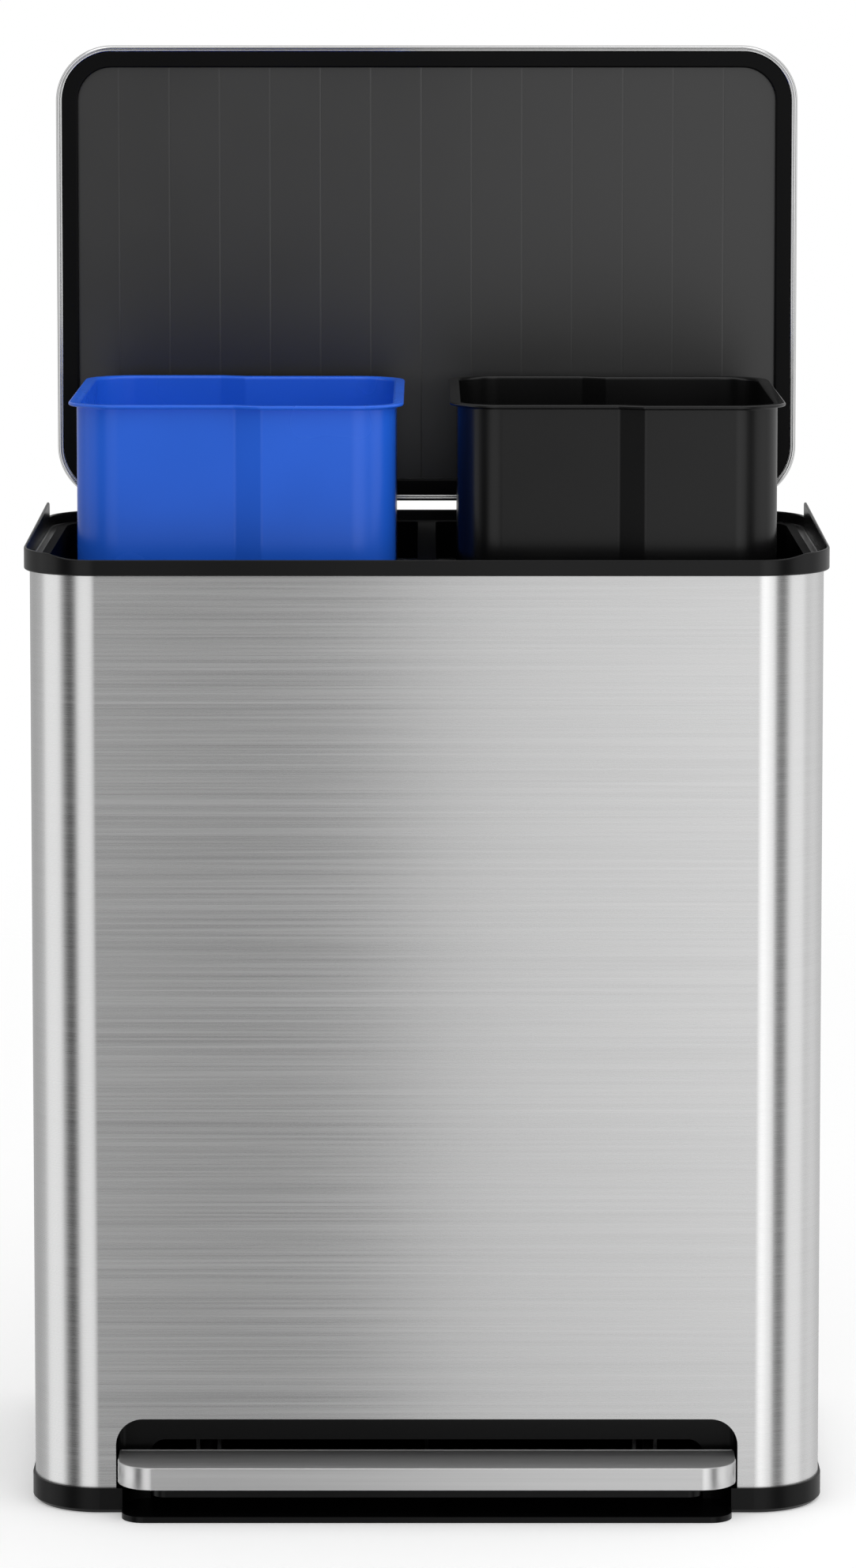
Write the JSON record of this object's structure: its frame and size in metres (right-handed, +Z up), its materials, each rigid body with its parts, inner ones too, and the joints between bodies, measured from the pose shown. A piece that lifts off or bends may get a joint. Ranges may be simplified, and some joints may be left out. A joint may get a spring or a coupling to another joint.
{
  "type": "double recycling bin",
  "caption": "Tall two-compartment waste bin: steel sleeve on a plastic base, hinged lid worked by a full-width foot pedal, and deep lift-out buckets side by side.",
  "frame": {"origin": "on the floor in the middle of the rim's plan", "axes": "+Z up, -Y to the front with the pedal, +X to the right of a person who faces the front"},
  "size_m": [0.54, 0.366, 0.9785],
  "materials": {
    "brushed_steel": "satin, brushed level all round",
    "black_plastic": "fine moulded grain",
    "lid_panel_plastic": "smooth moulded",
    "blue_plastic": "soft satin moulded",
    "black_bucket_plastic": "soft satin moulded",
    "plain_steel": "plain zinc-plated",
    "pad_rubber": "matt"
  },
  "bodies": {
    "cabinet": {"base_moulding": "black_plastic", "foot_pads": "pad_rubber", "pedal_housing": "black_plastic", "body_shell": "brushed_steel", "top_collar": "black_plastic", "bucket_guide_frame": "black_plastic", "bucket_deck": "black_plastic", "centre_divider": "black_plastic", "lid_bumpers": "pad_rubber", "hinge_bracket_left": "plain_steel", "hinge_pin_left": "plain_steel", "lever_bracket_left": "plain_steel", "hinge_bracket_right": "plain_steel", "hinge_pin_right": "plain_steel", "lever_bracket_right": "plain_steel", "rod_guides": "black_plastic", "damper_cylinder": "plain_steel", "damper_clips": "black_plastic", "lever_axle": "plain_steel"},
    "lid": {"lid_shell": "brushed_steel", "lid_frame": "black_plastic", "lid_panel": "lid_panel_plastic", "hinge_arm_left": "plain_steel", "hinge_arm_right": "plain_steel", "crank_pin_left": "plain_steel", "crank_pin_right": "plain_steel"},
    "pedal": {"pedal_tread": "brushed_steel", "pedal_core": "black_plastic", "pedal_lever": "plain_steel", "lever_pin": "plain_steel"},
    "push_rod": {"push_rod": "plain_steel", "rod_clevis": "plain_steel"},
    "damper_rod": {"damper_rod": "plain_steel"},
    "bucket_left": {"bucket_left": "blue_plastic"},
    "bucket_right": {"bucket_right": "black_bucket_plastic"}
  },
  "joints": [
    {"name": "lid_hinge", "type": "hinge", "parent": "cabinet", "child": "lid", "pos_m": [0, 0.167, 0.6485], "axis": [1, 0, 0], "range_deg": [0, 90]},
    {"name": "pedal_pivot", "type": "hinge", "parent": "cabinet", "child": "pedal", "pos_m": [0, -0.061, 0.03], "axis": [1, 0, 0], "range_deg": [-5.68, 0]},
    {"name": "push_rod_slide", "type": "slide", "parent": "cabinet", "child": "push_rod", "axis": [0, 0, 1], "range_m": [-0.02122, 0]},
    {"name": "damper_slide", "type": "slide", "parent": "cabinet", "child": "damper_rod", "axis": [0, 0, 1], "range_m": [-0.02122, 0]},
    {"name": "bucket_left_lift", "type": "slide", "parent": "cabinet", "child": "bucket_left", "axis": [0, 0, 1], "range_m": [-0.15791, 0]},
    {"name": "bucket_right_lift", "type": "slide", "parent": "cabinet", "child": "bucket_right", "axis": [0, 0, 1], "range_m": [-0.15791, 0]}
  ],
  "couplings": [
    {"joint": "pedal_pivot", "follows": "lid_hinge", "ratio": -0.063},
    {"joint": "push_rod_slide", "follows": "lid_hinge", "m_per_rad": -0.013505},
    {"joint": "damper_slide", "follows": "lid_hinge", "m_per_rad": -0.013505},
    {"joint": "bucket_left_lift", "follows": "lid_hinge", "m_per_rad": -0.10052},
    {"joint": "bucket_right_lift", "follows": "lid_hinge", "m_per_rad": -0.10052}
  ]
}
